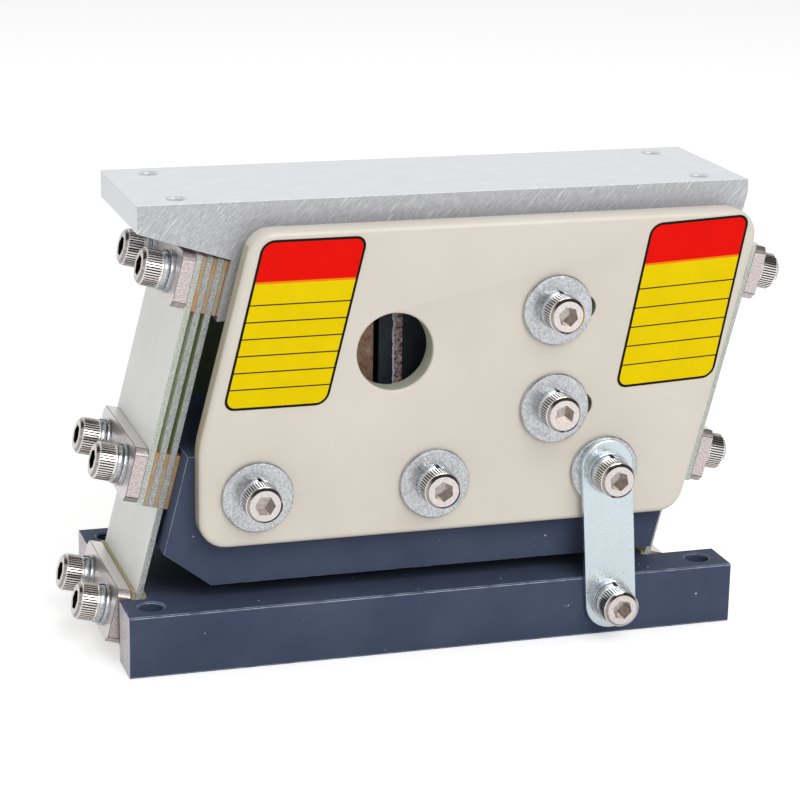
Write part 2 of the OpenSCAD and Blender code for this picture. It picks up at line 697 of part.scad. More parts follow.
module front_flat_washers() {
  color("#d0dade") bracket_places(front_y + bracket_t) flat_washer();
}
module back_flat_washers() {
  color("#d0dade") {
    plate_places(1, front_y) flat_washer();
    magnet_places(1, front_y) flat_washer();
  }
}

base_plate();
counterweight_block();
front_side_plate();
back_side_plate();
transport_bracket();
tray_block();
armature();
armature_screws();
magnet_core();
coil_bobbin();
magnet_coil();
magnet_sleeve();
magnet_wrap();
magnet_holder();
core_bolts();
cable_grommet();
leaf(LEFT, 0);  // left_inner_leaf
leaf(LEFT, 1);  // left_middle_leaf
leaf(LEFT, 2);  // left_outer_leaf
leaf(RIGHT, 0);  // right_inner_leaf
leaf(RIGHT, 1);  // right_middle_leaf
leaf(RIGHT, 2);  // right_outer_leaf
spacers(LEFT, TOP);  // left_top_spacers
spacers(LEFT, MID);  // left_mid_spacers
spacers(LEFT, BASE);  // left_base_spacers
spacers(RIGHT, TOP);  // right_top_spacers
spacers(RIGHT, MID);  // right_mid_spacers
spacers(RIGHT, BASE);  // right_base_spacers
clamp(LEFT, TOP);  // left_top_clamp
clamp(LEFT, MID);  // left_mid_clamp
clamp(LEFT, BASE);  // left_base_clamp
clamp(RIGHT, TOP);  // right_top_clamp
clamp(RIGHT, MID);  // right_mid_clamp
clamp(RIGHT, BASE);  // right_base_clamp
clamp_screws(LEFT, TOP);  // left_top_screws
clamp_screws(LEFT, MID);  // left_mid_screws
clamp_screws(LEFT, BASE);  // left_base_screws
clamp_screws(RIGHT, TOP);  // right_top_screws
clamp_screws(RIGHT, MID);  // right_mid_screws
clamp_screws(RIGHT, BASE);  // right_base_screws
tray_flat_washers();
tray_lock_washers();
clamp_flat_washers();
clamp_lock_washers();
plate_screws(-1);  // front_plate_screws
magnet_screws(-1);  // front_magnet_screws
bracket_screws();
body_washers(-1);  // front_body_washers
front_flat_washers();
side_lock_washers(-1);  // front_lock_washers
plate_screws(1);  // back_plate_screws
magnet_screws(1);  // back_magnet_screws
body_washers(1);  // back_body_washers
back_flat_washers();
side_lock_washers(1);  // back_lock_washers
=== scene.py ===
import json
import math
import random

import bmesh
import bpy
from mathutils import Matrix, Vector

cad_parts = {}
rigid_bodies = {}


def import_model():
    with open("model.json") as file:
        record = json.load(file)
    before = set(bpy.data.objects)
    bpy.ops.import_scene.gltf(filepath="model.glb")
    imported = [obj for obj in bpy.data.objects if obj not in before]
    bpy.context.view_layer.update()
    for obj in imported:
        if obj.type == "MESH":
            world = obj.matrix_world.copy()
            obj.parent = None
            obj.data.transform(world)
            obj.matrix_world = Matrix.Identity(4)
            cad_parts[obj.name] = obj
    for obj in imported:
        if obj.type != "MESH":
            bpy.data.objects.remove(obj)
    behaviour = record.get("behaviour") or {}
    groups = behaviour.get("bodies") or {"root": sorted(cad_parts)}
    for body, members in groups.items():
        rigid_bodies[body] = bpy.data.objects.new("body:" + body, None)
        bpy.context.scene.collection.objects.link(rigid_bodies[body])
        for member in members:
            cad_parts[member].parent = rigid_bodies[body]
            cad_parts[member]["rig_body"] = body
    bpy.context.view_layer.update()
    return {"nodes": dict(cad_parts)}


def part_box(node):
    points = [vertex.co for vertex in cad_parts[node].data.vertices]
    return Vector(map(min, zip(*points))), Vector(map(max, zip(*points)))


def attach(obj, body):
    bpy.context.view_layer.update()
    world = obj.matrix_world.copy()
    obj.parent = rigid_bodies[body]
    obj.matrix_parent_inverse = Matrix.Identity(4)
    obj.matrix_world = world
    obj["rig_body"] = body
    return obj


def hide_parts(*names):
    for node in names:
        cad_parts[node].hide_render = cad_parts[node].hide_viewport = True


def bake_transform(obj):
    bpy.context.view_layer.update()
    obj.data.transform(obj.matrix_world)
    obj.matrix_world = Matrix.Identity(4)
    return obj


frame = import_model()
nodes = frame["nodes"]


# ---- Camera ----
# A long lens a little to the left of the front and above it, turned by about a degree.

camera_place = Vector((-0.170583, -0.538447, 0.213394))
camera_aim = Vector((0.28872, 0.91590, -0.27887))
camera_roll = math.radians(1.079)
lens_data = bpy.data.cameras.new("camera")
lens_data.sensor_width = 36.0
lens_data.lens = 115.954
camera = bpy.data.objects.new("camera", lens_data)
camera.matrix_world = (Matrix.Translation(camera_place)
                       @ camera_aim.to_track_quat("-Z", "Y").to_matrix().to_4x4()
                       @ Matrix.Rotation(camera_roll, 4, "Z"))
bpy.context.scene.collection.objects.link(camera)
bpy.context.scene.camera = camera


# ---- Studio: floor, room light and lamps ----
# A pale floor that keeps the shadow, a white room and three large soft lamps. Metal
# mirrors the white floor, pale walls in front and behind, and a dark ceiling over them.

def colour(code):
    """A colour written as an sRGB hex code, as the linear values that shaders take."""
    parts = [int(code[i:i + 2], 16) / 255 for i in (1, 3, 5)]
    return [p / 12.92 if p <= 0.04045 else ((p + 0.055) / 1.055) ** 2.4 for p in parts] + [1.0]


def add(tree, kind, sockets=None, feeds=None, **settings):
    """Adds a shader node with its settings. Its sockets take values, hex colours, or nodes and
    outputs to link from, and feeds links its own outputs on to other inputs."""
    node = tree.nodes.new(kind)
    for name, value in settings.items():
        setattr(node, name, value)
    for name, value in (sockets or {}).items():
        if isinstance(value, bpy.types.Node):
            value = value.outputs[0]
        if isinstance(value, bpy.types.NodeSocket):
            tree.links.new(value, node.inputs[name])
        else:
            node.inputs[name].default_value = colour(value) if isinstance(value, str) else value
    for name, target in (feeds or {}).items():
        tree.links.new(node.outputs[name], target)
    return node


room_level = 0.44
world = bpy.data.worlds.new("room")
world.use_nodes = True
tree = world.node_tree
tree.nodes.clear()
path = add(tree, "ShaderNodeLightPath").outputs
towards = add(tree, "ShaderNodeTexCoord").outputs["Generated"]
either_way = add(tree, "ShaderNodeVectorMath", {0: towards}, operation="ABSOLUTE")
backdrop = add(tree, "ShaderNodeVectorMath", {0: either_way, 1: (0.0, 0.65, -0.76)},
               operation="DOT_PRODUCT").outputs["Value"]
glow = add(tree, "ShaderNodeMapRange", {"Value": backdrop, "From Min": -0.15, "From Max": 0.2,
                                        "To Min": 0.1, "To Max": 0.98})
room_light = add(tree, "ShaderNodeBackground", {"Color": "#ffffff", "Strength": room_level})
room_seen = add(tree, "ShaderNodeBackground", {"Color": "#ffffff", "Strength": glow})
room_white = add(tree, "ShaderNodeBackground", {"Color": "#ffffff", "Strength": 1.0})
mirrored = add(tree, "ShaderNodeMixShader", {0: path["Is Glossy Ray"], 1: room_light, 2: room_seen})
seen = add(tree, "ShaderNodeMath", {0: path["Is Camera Ray"], 1: path["Is Transmission Ray"]},
           operation="MAXIMUM")
room = add(tree, "ShaderNodeMixShader", {0: seen, 1: mirrored, 2: room_white})
add(tree, "ShaderNodeOutputWorld", {"Surface": room})
bpy.context.scene.world = world

floor_mesh = bmesh.new()
bmesh.ops.create_grid(floor_mesh, x_segments=1, y_segments=1, size=3.0)
floor_data = bpy.data.meshes.new("floor")
floor_mesh.to_mesh(floor_data)
floor_mesh.free()
floor = bpy.data.objects.new("floor", floor_data)
bpy.context.scene.collection.objects.link(floor)
floor_finish = bpy.data.materials.new("white_floor")
floor_finish.use_nodes = True
tree = floor_finish.node_tree
tree.nodes.clear()
paper = add(tree, "ShaderNodeBsdfDiffuse", {"Color": "#eeeeee"})
lift = add(tree, "ShaderNodeEmission", {"Color": "#ffffff", "Strength": room_level})
lit = add(tree, "ShaderNodeAddShader", {0: paper, 1: lift})
half_lift = add(tree, "ShaderNodeEmission", {"Color": "#ffffff", "Strength": room_level / 2})
half_lit = add(tree, "ShaderNodeAddShader", {0: paper, 1: half_lift})
path = add(tree, "ShaderNodeLightPath").outputs
mirrored = add(tree, "ShaderNodeMixShader", {0: path["Is Glossy Ray"], 1: paper, 2: half_lit})
seen = add(tree, "ShaderNodeMath", {0: path["Is Camera Ray"], 1: path["Is Transmission Ray"]},
           operation="MAXIMUM")
surface = add(tree, "ShaderNodeMixShader", {0: seen, 1: mirrored, 2: lit})
add(tree, "ShaderNodeOutputMaterial", {"Surface": surface})
floor_data.materials.append(floor_finish)

lamp_aim = Vector((0.0, 0.0, 0.05))
for lamp_name, place, size, power in (("key", (0.25, -0.95, 0.80), 0.8, 7.55),
                                      ("top", (0.05, 0.20, 1.10), 0.9, 2.8),
                                      ("side", (-1.05, -0.10, 0.45), 0.7, 1.2)):
    lamp_data = bpy.data.lights.new(lamp_name, "AREA")
    lamp_data.size = size
    lamp_data.energy = power
    lamp = bpy.data.objects.new(lamp_name, lamp_data)
    lamp.visible_glossy = lamp_name != "top"
    lamp.matrix_world = (Matrix.Translation(place)
                         @ (lamp_aim - Vector(place)).to_track_quat("-Z", "Y").to_matrix().to_4x4())
    bpy.context.scene.collection.objects.link(lamp)
bpy.context.scene.view_settings.view_transform = "Standard"


# ---- Base plate and counterweight ----
# Solid steel plates with milled edges, sprayed with dark blue satin baking enamel. Their
# edges show a pale line, partly painted highlight and partly thin enamel over the steel,
# and the two ends of the base plate are left bare.

mm = 0.001
weld = 0.0005 * mm


def new_finish(name, **sockets):
    """A new material with one Principled shader, and the Object coordinates to draw it on."""
    material = bpy.data.materials.new(name)
    material.use_nodes = True
    tree = material.node_tree
    tree.nodes.clear()
    shader = add(tree, "ShaderNodeBsdfPrincipled",
                 {key.replace("_", " "): value for key, value in sockets.items()})
    add(tree, "ShaderNodeOutputMaterial", {"Surface": shader})
    place = add(tree, "ShaderNodeTexCoord").outputs["Object"]
    return material, tree, shader, place


def grain(tree, place, size, low=0.4, high=0.6, detail=3.0):
    """A random grain, its size in millimetres: 0 in its dark spots and 1 in its light ones."""
    noise = add(tree, "ShaderNodeTexNoise", {"Vector": place, "Scale": 1 / (size * mm),
                                             "Detail": detail, "Roughness": 0.65})
    return add(tree, "ShaderNodeMapRange", {"Value": noise, "From Min": low, "From Max": high})


def specks(tree, place, spacing, radius):
    """Round specks that lie about a spacing apart: 1 in a speck and 0 around it."""
    cells = add(tree, "ShaderNodeTexVoronoi", {"Vector": place, "Scale": 1 / (spacing * mm)})
    return add(tree, "ShaderNodeMapRange", {"Value": cells, "From Min": radius / spacing,
                                            "From Max": 0.6 * radius / spacing})


def blue_baking_enamel():
    """Satin enamel: a spray texture, drawn a millimetre coarse to show, and a few dust specks."""
    material, tree, shader, place = new_finish("blue_baking_enamel", Roughness=0.5, IOR=1.5,
                                               Specular_IOR_Level=0.05)
    cloud = grain(tree, place, 18, 0.3, 0.7)
    tone = add(tree, "ShaderNodeMix", {0: cloud, 6: "#434c62", 7: "#4e576e"}, data_type="RGBA")
    dust = add(tree, "ShaderNodeMath", {0: specks(tree, place, 1.9, 0.13),
                                        1: grain(tree, place, 14, 0.56, 0.66),
                                        2: specks(tree, place, 5, 0.24)}, operation="MULTIPLY_ADD")
    add(tree, "ShaderNodeMix", {0: dust, 6: tone.outputs[2], 7: "#d5dbe6"},
        {2: shader.inputs["Base Color"]}, data_type="RGBA")
    add(tree, "ShaderNodeBump", {"Height": grain(tree, place, 0.9, 0.2, 0.8), "Distance": 0.02 * mm,
                                 "Strength": 0.35}, {0: shader.inputs["Normal"]})
    return material


def thin_enamel_and_highlight_edge():
    """An edge of the enamel: pale, partly painted highlight and partly thin enamel over steel."""
    material, tree, shader, place = new_finish("thin_enamel_and_highlight_edge", Roughness=0.38, IOR=1.5)
    add(tree, "ShaderNodeMix", {0: grain(tree, place, 3, 0.35, 0.55), 6: "#5d6880", 7: "#a9b5c8"},
        {2: shader.inputs["Base Color"]}, data_type="RGBA")
    return material


def bare_sawn_steel():
    """Plain steel at the sawn ends of the plate: a dull, faintly pink shine."""
    material, tree, shader, place = new_finish("bare_sawn_steel", Metallic=0.7, Roughness=0.45)
    add(tree, "ShaderNodeMix", {0: grain(tree, place, 0.6), 6: "#beb7ba", 7: "#dcd6da"},
        {2: shader.inputs["Base Color"]}, data_type="RGBA")
    return material


def merged_copy(node):
    """A copy of a solid with its loose triangles joined into whole faces."""
    mesh = bmesh.new()
    mesh.from_mesh(nodes[node].data)
    bmesh.ops.remove_doubles(mesh, verts=mesh.verts, dist=weld)
    bmesh.ops.dissolve_limit(mesh, angle_limit=math.radians(0.5), verts=mesh.verts,
                             edges=mesh.edges)
    return mesh


def copy_with_edges(node, edge, face_finish, edge_finish=None, steps=2, sharp=30):
    """A merged copy of a solid with its sharp edges broken, as a tumbled or painted part has."""
    mesh = merged_copy(node)
    corners = [e for e in mesh.edges if len(e.link_faces) == 2
               and e.calc_face_angle(0.0) > math.radians(sharp)]
    cut = bmesh.ops.bevel(mesh, geom=corners, offset=edge * mm, offset_type="OFFSET",
                          segments=steps, profile=0.5, affect="EDGES", material=-1,
                          clamp_overlap=True)
    finishes = [face_finish]
    if edge_finish:
        finishes.append(edge_finish)
        for face in cut["faces"]:
            face.material_index = 1
    return show(node + "_piece", mesh, finishes, node)


def show(name, mesh, finishes, node, smooth=28, rides=True):
    """Turns a finished bmesh into the piece that stands for a solid and moves with its body.
    A large flat face stays flat: only the small faces round it are shaded as one curve."""
    facet_turn, much_larger = math.radians(8), 30
    for edge in mesh.edges:
        angle = edge.calc_face_angle(math.pi)
        edge.smooth = angle < math.radians(smooth)
        if edge.smooth and angle > facet_turn:
            small, large = sorted(face.calc_area() for face in edge.link_faces)
            edge.smooth = large < much_larger * small
    for face in mesh.faces:
        face.smooth = True
    data = bpy.data.meshes.new(name)
    mesh.to_mesh(data)
    mesh.free()
    piece = bpy.data.objects.new(name, data)
    bpy.context.scene.collection.objects.link(piece)
    for finish in finishes:
        data.materials.append(finish)
    if rides:
        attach(piece, nodes[node]["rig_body"])
    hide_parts(node)
    return piece


def refinish(piece, finish, wanted):
    """Gives another finish to those faces of a piece for which wanted(normal, centre) holds."""
    piece.data.materials.append(finish)
    for face in piece.data.polygons:
        if face.material_index == 0 and wanted(face.normal, face.center):
            face.material_index = len(piece.data.materials) - 1


# Painted highlight: the plates' broken edges get a pale line, partly thin enamel over steel.
blue, blue_edge = blue_baking_enamel(), thin_enamel_and_highlight_edge()
copy_with_edges("counterweight_block", 0.16, blue, blue_edge, steps=1)
base = copy_with_edges("base_plate", 0.16, blue, blue_edge, steps=1)
base_left, base_right = (corner.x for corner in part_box("base_plate"))
refinish(base, bare_sawn_steel(), lambda normal, spot: abs(normal.x) > 0.9
         and (spot.x < base_left + 1 * mm or spot.x > base_right - 1 * mm))


# ---- Side plates ----
# Two machined plates with rounded outer edges, sprayed from outside with cream satin enamel.
# Painted shade: their flanks are a darker cream, their bores a pale olive, and the back
# one's inner face a dark olive.
# They are screwed to the counterweight and carry the magnet.

def cream_baking_enamel(name, dark, light):
    """Satin enamel: a spray texture, drawn a millimetre coarse to show, a slight cloudiness and
    a rare dark speck."""
    material, tree, shader, place = new_finish(name, Roughness=0.3, IOR=1.5)
    cloud = grain(tree, place, 30, 0.3, 0.7)
    tone = add(tree, "ShaderNodeMix", {0: cloud, 6: dark, 7: light}, data_type="RGBA")
    dirt = add(tree, "ShaderNodeMath", {0: specks(tree, place, 7, 0.17), 1: 0.6},
               operation="MULTIPLY")
    add(tree, "ShaderNodeMix", {0: dirt, 6: tone.outputs[2], 7: "#8c857c"},
        {2: shader.inputs["Base Color"]}, data_type="RGBA")
    add(tree, "ShaderNodeBump", {"Height": grain(tree, place, 1.1, 0.2, 0.8),
                                 "Distance": 0.015 * mm, "Strength": 0.25},
        {0: shader.inputs["Normal"]})
    return material


cream = cream_baking_enamel("cream_baking_enamel", "#d8d0c4", "#dfd8cc")
flank_shade_cream = cream_baking_enamel("cream_enamel_painted_shade", "#b6aa92", "#bfb49b")
inside_shade_olive = cream_baking_enamel("dark_olive_painted_shade", "#6c7658", "#7c8668")
bore_shade_olive = cream_baking_enamel("pale_olive_painted_shade", "#babda8", "#c6c9b5")
flank_reach_x, flank_reach_z = 16 * mm, 8 * mm
for plate in ("front_side_plate", "back_side_plate"):
    cover = copy_with_edges(plate, 0.25, cream, sharp=50)
    low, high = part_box(plate)
    # Painted shade: the walls of the bores are a pale olive.
    refinish(cover, bore_shade_olive, lambda normal, spot: abs(normal.y) < 0.1
             and low.x + flank_reach_x < spot.x < high.x - flank_reach_x
             and low.z + flank_reach_z < spot.z < high.z - flank_reach_z)
    # Painted shade: the flanks, all but the top, are a darker cream.
    refinish(cover, flank_shade_cream, lambda normal, spot: abs(normal.y) < 0.1 and normal.z < 0.5)
    if plate == "back_side_plate":
        # Painted shade: the back plate's inner face is a dark olive.
        refinish(cover, inside_shade_olive, lambda normal, spot: normal.y < -0.9)


# ---- Stickers on the front side plate ----
# Two printed film stickers, stuck on and sheared like the plate: a red heading over a yellow
# field with a black border. They carry no words: ruled lines stand where rows of text would.

def printed_film(name, code):
    """Clear-faced printed film: an even ink that hardly mirrors the room."""
    material, tree, shader, place = new_finish(name, Roughness=0.35, IOR=1.48,
                                               Specular_IOR_Level=0.06)
    shift = add(tree, "ShaderNodeMapRange", {"Value": grain(tree, place, 9, 0.2, 0.8),
                                             "To Min": 0.95, "To Max": 1.05})
    add(tree, "ShaderNodeHueSaturation", {"Color": code, "Value": shift},
        {0: shader.inputs["Base Color"]})
    return material


film = [printed_film("black_ink_film", "#1a1712"), printed_film("red_ink_film", "#ea1006"),
        printed_film("yellow_ink_film", "#ecce00"), printed_film("orange_ink_film", "#ee8a10")]
BLACK, RED, YELLOW, ORANGE = range(4)


def sticker(name, centre_x, centre_z, width, turn):
    """One sticker: a sheared rounded card, cut into its printed fields, then given a thickness."""
    height, thickness, shear = 36.6, 0.1, math.tan(math.radians(13.5))
    corner, border, heading, divide = 2.6, 0.55, 8.9, 0.45
    first_rule, rule, foot = 1.2, 0.28, 2.2
    card = bmesh.new()
    bmesh.ops.create_grid(card, x_segments=1, y_segments=1, size=0.5)
    bmesh.ops.scale(card, vec=(width, height, 1), verts=card.verts)
    bmesh.ops.bevel(card, geom=list(card.verts), offset=corner, offset_type="OFFSET", segments=6,
                    profile=0.5, affect="VERTICES", material=-1)
    bmesh.ops.inset_region(card, faces=card.faces, thickness=border, use_even_offset=True,
                           use_boundary=True)
    field = max(card.faces, key=lambda face: face.calc_area())
    for face in card.faces:
        face.material_index = YELLOW if face == field else BLACK
    top = height / 2 - heading
    rows = 7 if turn == 0 else 6
    pitch = (top + height / 2 - foot) / rows
    lines = [top, top - divide]
    for i in range(1, rows):
        lines += [top - first_rule - pitch * i, top - first_rule - pitch * i - rule]
    for level in lines:
        inside = [f for f in card.faces if f.material_index == YELLOW]
        edges = list(dict.fromkeys(e for f in inside for e in f.edges))
        verts = list(dict.fromkeys(v for f in inside for v in f.verts))
        bmesh.ops.bisect_plane(card, geom=inside + edges + verts, plane_co=(0, level, 0),
                               plane_no=(0, 1, 0))
    for face in card.faces:
        y = face.calc_center_median().y
        if face.material_index == YELLOW:
            if y > top:
                face.material_index = RED
            elif y > top - divide:
                face.material_index = ORANGE
            elif any(low < y < high for high, low in zip(lines[2::2], lines[3::2])):
                face.material_index = BLACK
    slant = Matrix.Identity(4)
    slant[0][1] = shear
    bmesh.ops.transform(card, matrix=slant, verts=card.verts)
    bmesh.ops.rotate(card, matrix=Matrix.Rotation(math.radians(turn), 3, "Z"), verts=card.verts)
    outer = bmesh.ops.extrude_face_region(card, geom=list(card.faces))
    lifted = [v for v in outer["geom"] if isinstance(v, bmesh.types.BMVert)]
    bmesh.ops.translate(card, vec=(0, 0, thickness), verts=lifted)
    bmesh.ops.rotate(card, matrix=Matrix.Rotation(math.radians(90), 3, "X"), verts=card.verts)
    bmesh.ops.scale(card, vec=(mm, mm, mm), verts=card.verts)
    face_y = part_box("front_side_plate")[0].y
    bmesh.ops.translate(card, vec=(centre_x * mm, face_y, centre_z * mm), verts=card.verts)
    bmesh.ops.recalc_face_normals(card, faces=card.faces)
    data = bpy.data.meshes.new(name)
    card.to_mesh(data)
    card.free()
    piece = bpy.data.objects.new(name, data)
    bpy.context.scene.collection.objects.link(piece)
    for ink in film:
        data.materials.append(ink)
    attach(piece, "base_unit")


sticker("left_sticker", -33.4, 76.6, 23.0, 0)
sticker("right_sticker", 55.2, 76.5, 23.4, 2.7)


# ---- Tray block ----
# One block of aluminium, milled on every side and left bare. The end mill's marks cross
# on its front and back, and its top and ends were faced smooth with a wide cutter.

def cutter_marks(tree, place, turn, across, along):
    """Streaks left by a cutter, turned about the Y axis, with their widths in millimetres."""
    laid = add(tree, "ShaderNodeMapping", {"Vector": place, "Rotation": (0, math.radians(turn), 0),
                                           "Scale": (across * mm, along * mm, along * mm)},
               vector_type="TEXTURE")
    return add(tree, "ShaderNodeTexNoise", {"Vector": laid, "Scale": 1.0, "Detail": 3.0})


def milled_aluminium():
    """Bare milled aluminium: a fine sparkling grain that leans one way, with a few bright
    scratches, both drawn a little coarse so that they show. It is matt enough to stay light."""
    material, tree, shader, place = new_finish("milled_aluminium", Metallic=0.3, Roughness=0.45)
    sparkle = add(tree, "ShaderNodeMath", {0: grain(tree, place, 0.24, 0.3, 0.7), 1: 0.4,
                                           2: cutter_marks(tree, place, 42, 0.2, 2)},
                  operation="MULTIPLY_ADD")
    tone = add(tree, "ShaderNodeMapRange", {"Value": sparkle, "From Min": 0.4, "From Max": 1.0})
    grey = add(tree, "ShaderNodeMix", {0: tone, 6: "#9b9ca1", 7: "#d6d7db"}, data_type="RGBA")
    scratch = add(tree, "ShaderNodeMapRange", {"Value": cutter_marks(tree, place, 40, 0.25, 7),
                                               "From Min": 0.62, "From Max": 0.72})
    add(tree, "ShaderNodeMix", {0: scratch, 6: grey.outputs[2], 7: "#f4f5f8"},
        {2: shader.inputs["Base Color"]}, data_type="RGBA")
    add(tree, "ShaderNodeBump", {"Height": sparkle, "Distance": 0.01 * mm, "Strength": 0.5},
        {0: shader.inputs["Normal"]})
    return material


def faced_aluminium():
    """Aluminium faced with a wide cutter: smooth, bright and faintly clouded."""
    material, tree, shader, place = new_finish("faced_aluminium", Metallic=1.0, Roughness=0.26)
    add(tree, "ShaderNodeMix", {0: grain(tree, place, 6, 0.3, 0.7), 6: "#dddee3", 7: "#e3e4e9"},
        {2: shader.inputs["Base Color"]}, data_type="RGBA")
    return material


def tapped_aluminium_painted_bright():
    """The tapped holes' walls: fine matt threads, painted near white as a highlight."""
    material, tree, shader, place = new_finish("tapped_aluminium_painted_bright", Metallic=0.3, Roughness=0.4)
    add(tree, "ShaderNodeMix", {0: grain(tree, place, 0.6, 0.3, 0.7), 6: "#e4e5e8", 7: "#f8f8fa"},
        {2: shader.inputs["Base Color"]}, data_type="RGBA")
    return material


def cut_edge_aluminium_painted_highlight():
    """The block's broken edge: smoother than its faces, and painted brighter as a highlight."""
    material, tree, shader, place = new_finish("cut_edge_aluminium_painted_highlight", Metallic=1.0, Roughness=0.25)
    add(tree, "ShaderNodeMix", {0: grain(tree, place, 0.8, 0.2, 0.8), 6: "#e2e3e6", 7: "#f8f8fa"},
        {2: shader.inputs["Base Color"]}, data_type="RGBA")
    return material


# Painted highlight: the block's broken edges are brighter than its faces.
tray = copy_with_edges("tray_block", 0.2, milled_aluminium(), cut_edge_aluminium_painted_highlight())
low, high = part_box("tray_block")
in_x, in_y, top_plate = 3 * mm, 1 * mm, 9 * mm
# Painted highlight: the walls of the tapped holes are near white.
refinish(tray, tapped_aluminium_painted_bright(), lambda normal, spot: abs(normal.z) < 0.8
         and spot.z > high.z - top_plate and low.x + in_x < spot.x < high.x - in_x
         and low.y + in_y < spot.y < high.y - in_y)
refinish(tray, faced_aluminium(), lambda normal, spot: abs(normal.y) < 0.7)


# ---- Leaf springs ----
# Strips of pale green glass-fibre laminate, sawn to width. The inner leaf of each pack
# runs from the base to the tray. The span over the middle clamp is cut across at short steps.

def pressed_laminate(name, dark, light):
    """The pressed face of the laminate: smooth, pale and a little cloudy."""
    material, tree, shader, place = new_finish(name, Roughness=0.36, IOR=1.52)
    add(tree, "ShaderNodeMix", {0: grain(tree, place, 10, 0.3, 0.7), 6: dark, 7: light},
        {2: shader.inputs["Base Color"]}, data_type="RGBA")
    return material


def sawn_laminate(name, dark, light):
    """A sawn edge: the cut ends of the glass fibres, as grey and pale spots that are drawn
    coarser than the fibres so that they show."""
    material, tree, shader, place = new_finish(name, Roughness=0.5, IOR=1.52)
    fibre = grain(tree, place, 0.28, 0.36, 0.64)
    add(tree, "ShaderNodeMix", {0: fibre, 6: dark, 7: light},
        {2: shader.inputs["Base Color"]}, data_type="RGBA")
    add(tree, "ShaderNodeBump", {"Height": fibre, "Distance": 0.01 * mm, "Strength": 0.3},
        {0: shader.inputs["Normal"]})
    return material


lean = math.radians(14)
up_leaf = Vector((math.sin(lean), 0, math.cos(lean)))
out_of_pack = {"left": Vector((-math.cos(lean), 0, math.sin(lean))),
               "right": Vector((math.cos(lean), 0, -math.sin(lean)))}


def centre(node):
    """The middle of a solid's box."""
    low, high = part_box(node)
    return (low + high) / 2


def leaf_spring(side, order, finishes):
    """A leaf cut across at short steps between two clamps, and not attached to a body."""
    node, half_clamp, steps = f"{side}_{order}_leaf", 6 * mm, 16
    low = centre(side + "_mid_clamp") + up_leaf * half_clamp
    high = centre(side + "_top_clamp") - up_leaf * half_clamp
    mesh = merged_copy(node)
    for i in range(steps + 1):
        bmesh.ops.bisect_plane(mesh, geom=mesh.verts[:] + mesh.edges[:] + mesh.faces[:],
                               plane_co=low.lerp(high, i / steps), plane_no=up_leaf)
    out_gap, in_gap = {"inner": (INNER_GAP, FACE), "middle": (OUTER_GAP, INNER_GAP),
                       "outer": (FACE, OUTER_GAP)}[order]
    for face in mesh.faces:
        outward = face.normal.dot(out_of_pack[side])
        if abs(face.normal.y) > 0.7:
            face.material_index = EDGE
        # Painted shade and painted light: faces that face another leaf get the green gap finishes.
        elif (face.calc_center_median() - low).dot(up_leaf) > 0 and abs(outward) > 0.7:
            face.material_index = out_gap if outward > 0 else in_gap
    piece = show(node + "_piece", mesh, finishes, node, rides=False)
    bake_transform(piece)


# Where two leaves face each other, their faces are painted greener and darker, more so
# further in: painted shade, and painted light that has passed through the glass fibre.
pressed = pressed_laminate("pressed_laminate", "#f0f2ee", "#f7f8f5")
inner_gap_shade = pressed_laminate("green_painted_shade_laminate", "#c3d3a4", "#d0dcb2")
outer_gap_shade = pressed_laminate("pale_green_painted_shade_laminate", "#e6efd4", "#f2f7e6")
sawn = sawn_laminate("sawn_laminate", "#83888c", "#ccd0cb")
paler_edge = sawn_laminate("paler_sawn_laminate", "#a3aaa2", "#d8ddd2")
FACE, EDGE, INNER_GAP, OUTER_GAP = range(4)
for side in ("left", "right"):
    for order in ("inner", "middle", "outer"):
        # The edges of the right pack and of the outer leaves are drawn paler.
        edge = paler_edge if side == "right" or order == "outer" else sawn
        leaf_spring(side, order, [pressed, edge, inner_gap_shade, outer_gap_shade])


# ---- Spacers ----
# Small plates of tan phenolic paper board between the leaves, sawn from sheet. Those at
# the base are of a yellower board.

def phenolic_board(name, dark, light):
    """Paper board: patches of darker resin, and fine paper fibres on its sawn edges."""
    material, tree, shader, place = new_finish(name, Roughness=0.55, IOR=1.5)
    patches = add(tree, "ShaderNodeMix", {0: grain(tree, place, 4, 0.4, 0.6), 6: dark, 7: light},
                  data_type="RGBA")
    fibre = add(tree, "ShaderNodeMath", {0: grain(tree, place, 0.4, 0.6, 0.4), 1: 0.22},
                operation="MULTIPLY")
    add(tree, "ShaderNodeMix", {0: fibre, 6: patches.outputs[2], 7: "#5a3c22"},
        {2: shader.inputs["Base Color"]}, data_type="RGBA")
    return material


joint = phenolic_board("resin_joint", "#4a3826", "#6a5238")
tan_board = phenolic_board("phenolic_board", "#c7955f", "#b7a88c")
boards = {"top": tan_board, "mid": tan_board,
          "base": phenolic_board("yellow_phenolic_board", "#b8ac80", "#c4ba92")}
for side in ("left", "right"):
    for level in ("top", "mid", "base"):
        copy_with_edges(f"{side}_{level}_spacers", 0.07, boards[level], joint, steps=1)


# ---- Clamp plates ----
# Milled steel bars with cut corners, dull nickel plated, that press the leaves and
# spacers against the tray block, the counterweight and the base.

def dull_nickel(name, dark, light, rough):
    """Nickel over milled steel: warm, satin, and speckled where the bar was sawn."""
    material, tree, shader, place = new_finish(name, Metallic=1.0, Roughness=rough)
    spots = grain(tree, place, 0.4)
    add(tree, "ShaderNodeMix", {0: spots, 6: dark, 7: light},
        {2: shader.inputs["Base Color"]}, data_type="RGBA")
    add(tree, "ShaderNodeBump", {"Height": spots, "Distance": 0.01 * mm, "Strength": 0.25},
        {0: shader.inputs["Normal"]})
    return material


bar_face = dull_nickel("dull_nickel", "#ddd6d4", "#eae5e3", 0.34)
bar_end = dull_nickel("dull_nickel_on_sawn_end", "#b8abaa", "#dcd2d2", 0.42)
